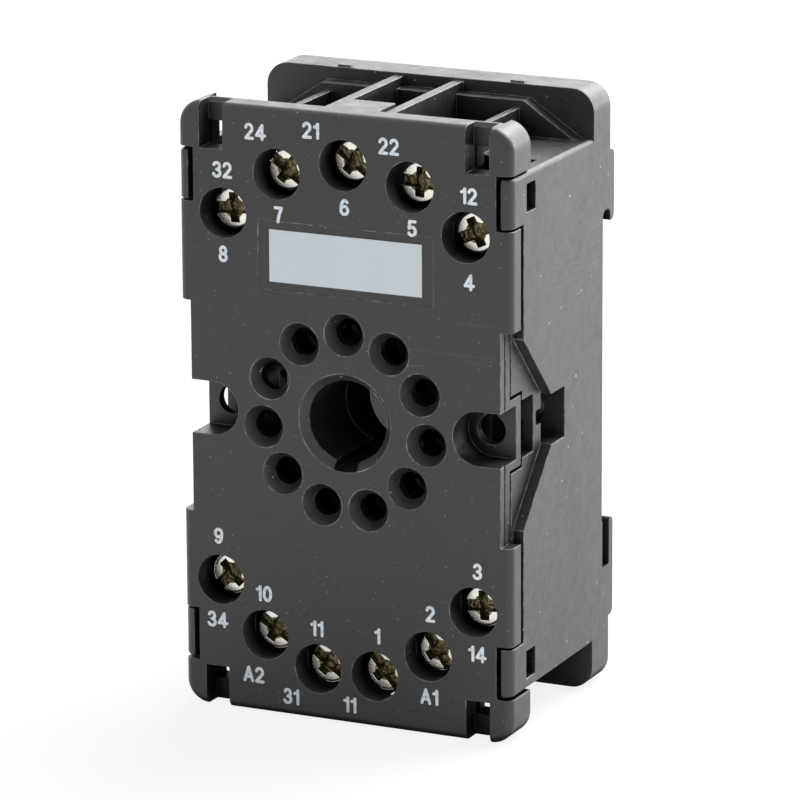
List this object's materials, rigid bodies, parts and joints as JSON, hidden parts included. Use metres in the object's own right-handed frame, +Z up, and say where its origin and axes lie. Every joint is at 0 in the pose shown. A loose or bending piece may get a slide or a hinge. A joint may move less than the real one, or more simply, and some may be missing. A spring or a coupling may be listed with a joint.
{
  "type": "screw terminal socket",
  "caption": "Plug-in relay socket with screw terminals, for rail or panel mounting, with a guide hole ringed by pin contacts, a marking field and captive clamp plates.",
  "frame": {"origin": "middle of the bottom edge, at the centre of the width and depth", "axes": "+Z up along the longest side, front towards -Y, rail channel towards +Y, +X to the right seen from the front"},
  "size_m": [0.0382, 0.027, 0.0662],
  "materials": {
    "housing": "satin black",
    "cover": "satin black",
    "label": "silver grey film",
    "spring": "spring steel",
    "brass": "plated",
    "plate": "zinc plated",
    "screw": "nickel plated"
  },
  "bodies": {
    "socket": {"base_housing": "housing", "front_cover": "cover", "marking_label": "label", "contact_strip_01": "brass", "contact_strip_02": "brass", "contact_strip_03": "brass", "contact_strip_04": "brass", "contact_strip_05": "brass", "contact_strip_06": "brass", "contact_strip_07": "brass", "contact_strip_08": "brass", "contact_strip_09": "brass", "contact_strip_10": "brass", "contact_strip_11": "brass"},
    "spring": {"rail_spring": "spring"},
    "clamp_01": {"clamp_plate_01": "plate"},
    "screw_01": {"terminal_screw_01": "screw"},
    "clamp_02": {"clamp_plate_02": "plate"},
    "screw_02": {"terminal_screw_02": "screw"},
    "clamp_03": {"clamp_plate_03": "plate"},
    "screw_03": {"terminal_screw_03": "screw"},
    "clamp_04": {"clamp_plate_04": "plate"},
    "screw_04": {"terminal_screw_04": "screw"},
    "clamp_05": {"clamp_plate_05": "plate"},
    "screw_05": {"terminal_screw_05": "screw"},
    "clamp_06": {"clamp_plate_06": "plate"},
    "screw_06": {"terminal_screw_06": "screw"},
    "clamp_07": {"clamp_plate_07": "plate"},
    "screw_07": {"terminal_screw_07": "screw"},
    "clamp_08": {"clamp_plate_08": "plate"},
    "screw_08": {"terminal_screw_08": "screw"},
    "clamp_09": {"clamp_plate_09": "plate"},
    "screw_09": {"terminal_screw_09": "screw"},
    "clamp_10": {"clamp_plate_10": "plate"},
    "screw_10": {"terminal_screw_10": "screw"},
    "clamp_11": {"clamp_plate_11": "plate"},
    "screw_11": {"terminal_screw_11": "screw"}
  },
  "joints": [
    {"name": "clamp_01_slide", "type": "slide", "parent": "socket", "child": "clamp_01", "axis": [0, 1, 0], "range_m": [0, 0.0022]},
    {"name": "screw_01_turn", "type": "hinge", "parent": "clamp_01", "child": "screw_01", "pos_m": [0.0033, -0.0074, 0.0057], "axis": [0, 1, 0], "range_deg": [0, 1584.8]},
    {"name": "clamp_02_slide", "type": "slide", "parent": "socket", "child": "clamp_02", "axis": [0, 1, 0], "range_m": [0, 0.0022]},
    {"name": "screw_02_turn", "type": "hinge", "parent": "clamp_02", "child": "screw_02", "pos_m": [0.00949, -0.0074, 0.0087], "axis": [0, 1, 0], "range_deg": [0, 1584.8]},
    {"name": "clamp_03_slide", "type": "slide", "parent": "socket", "child": "clamp_03", "axis": [0, 1, 0], "range_m": [0, 0.0022]},
    {"name": "screw_03_turn", "type": "hinge", "parent": "clamp_03", "child": "screw_03", "pos_m": [0.01471, -0.0074, 0.0142], "axis": [0, 1, 0], "range_deg": [0, 1584.8]},
    {"name": "clamp_04_slide", "type": "slide", "parent": "socket", "child": "clamp_04", "axis": [0, 1, 0], "range_m": [0, 0.0022]},
    {"name": "screw_04_turn", "type": "hinge", "parent": "clamp_04", "child": "screw_04", "pos_m": [0.01391, -0.0074, 0.0543], "axis": [0, 1, 0], "range_deg": [0, 1584.8]},
    {"name": "clamp_05_slide", "type": "slide", "parent": "socket", "child": "clamp_05", "axis": [0, 1, 0], "range_m": [0, 0.0022]},
    {"name": "screw_05_turn", "type": "hinge", "parent": "clamp_05", "child": "screw_05", "pos_m": [0.0076, -0.0074, 0.059], "axis": [0, 1, 0], "range_deg": [0, 1584.8]},
    {"name": "clamp_06_slide", "type": "slide", "parent": "socket", "child": "clamp_06", "axis": [0, 1, 0], "range_m": [0, 0.0022]},
    {"name": "screw_06_turn", "type": "hinge", "parent": "clamp_06", "child": "screw_06", "pos_m": [0, -0.0074, 0.0606], "axis": [0, 1, 0], "range_deg": [0, 1584.8]},
    {"name": "clamp_07_slide", "type": "slide", "parent": "socket", "child": "clamp_07", "axis": [0, 1, 0], "range_m": [0, 0.0022]},
    {"name": "screw_07_turn", "type": "hinge", "parent": "clamp_07", "child": "screw_07", "pos_m": [-0.0076, -0.0074, 0.059], "axis": [0, 1, 0], "range_deg": [0, 1584.8]},
    {"name": "clamp_08_slide", "type": "slide", "parent": "socket", "child": "clamp_08", "axis": [0, 1, 0], "range_m": [0, 0.0022]},
    {"name": "screw_08_turn", "type": "hinge", "parent": "clamp_08", "child": "screw_08", "pos_m": [-0.01391, -0.0074, 0.0543], "axis": [0, 1, 0], "range_deg": [0, 1584.8]},
    {"name": "clamp_09_slide", "type": "slide", "parent": "socket", "child": "clamp_09", "axis": [0, 1, 0], "range_m": [0, 0.0022]},
    {"name": "screw_09_turn", "type": "hinge", "parent": "clamp_09", "child": "screw_09", "pos_m": [-0.01471, -0.0074, 0.0142], "axis": [0, 1, 0], "range_deg": [0, 1584.8]},
    {"name": "clamp_10_slide", "type": "slide", "parent": "socket", "child": "clamp_10", "axis": [0, 1, 0], "range_m": [0, 0.0022]},
    {"name": "screw_10_turn", "type": "hinge", "parent": "clamp_10", "child": "screw_10", "pos_m": [-0.00949, -0.0074, 0.0087], "axis": [0, 1, 0], "range_deg": [0, 1584.8]},
    {"name": "clamp_11_slide", "type": "slide", "parent": "socket", "child": "clamp_11", "axis": [0, 1, 0], "range_m": [0, 0.0022]},
    {"name": "screw_11_turn", "type": "hinge", "parent": "clamp_11", "child": "screw_11", "pos_m": [-0.0033, -0.0074, 0.0057], "axis": [0, 1, 0], "range_deg": [0, 1584.8]},
    {"name": "spring_press", "type": "slide", "parent": "socket", "child": "spring", "axis": [0, 0, -1], "range_m": [0, 0.002], "stiffness_N_per_m": 3000, "deforming": ["rail_spring"]}
  ],
  "couplings": [
    {"joint": "screw_01_turn", "follows": "clamp_01_slide", "rad_per_m": 12566},
    {"joint": "screw_02_turn", "follows": "clamp_02_slide", "rad_per_m": 12566},
    {"joint": "screw_03_turn", "follows": "clamp_03_slide", "rad_per_m": 12566},
    {"joint": "screw_04_turn", "follows": "clamp_04_slide", "rad_per_m": 12566},
    {"joint": "screw_05_turn", "follows": "clamp_05_slide", "rad_per_m": 12566},
    {"joint": "screw_06_turn", "follows": "clamp_06_slide", "rad_per_m": 12566},
    {"joint": "screw_07_turn", "follows": "clamp_07_slide", "rad_per_m": 12566},
    {"joint": "screw_08_turn", "follows": "clamp_08_slide", "rad_per_m": 12566},
    {"joint": "screw_09_turn", "follows": "clamp_09_slide", "rad_per_m": 12566},
    {"joint": "screw_10_turn", "follows": "clamp_10_slide", "rad_per_m": 12566},
    {"joint": "screw_11_turn", "follows": "clamp_11_slide", "rad_per_m": 12566}
  ]
}
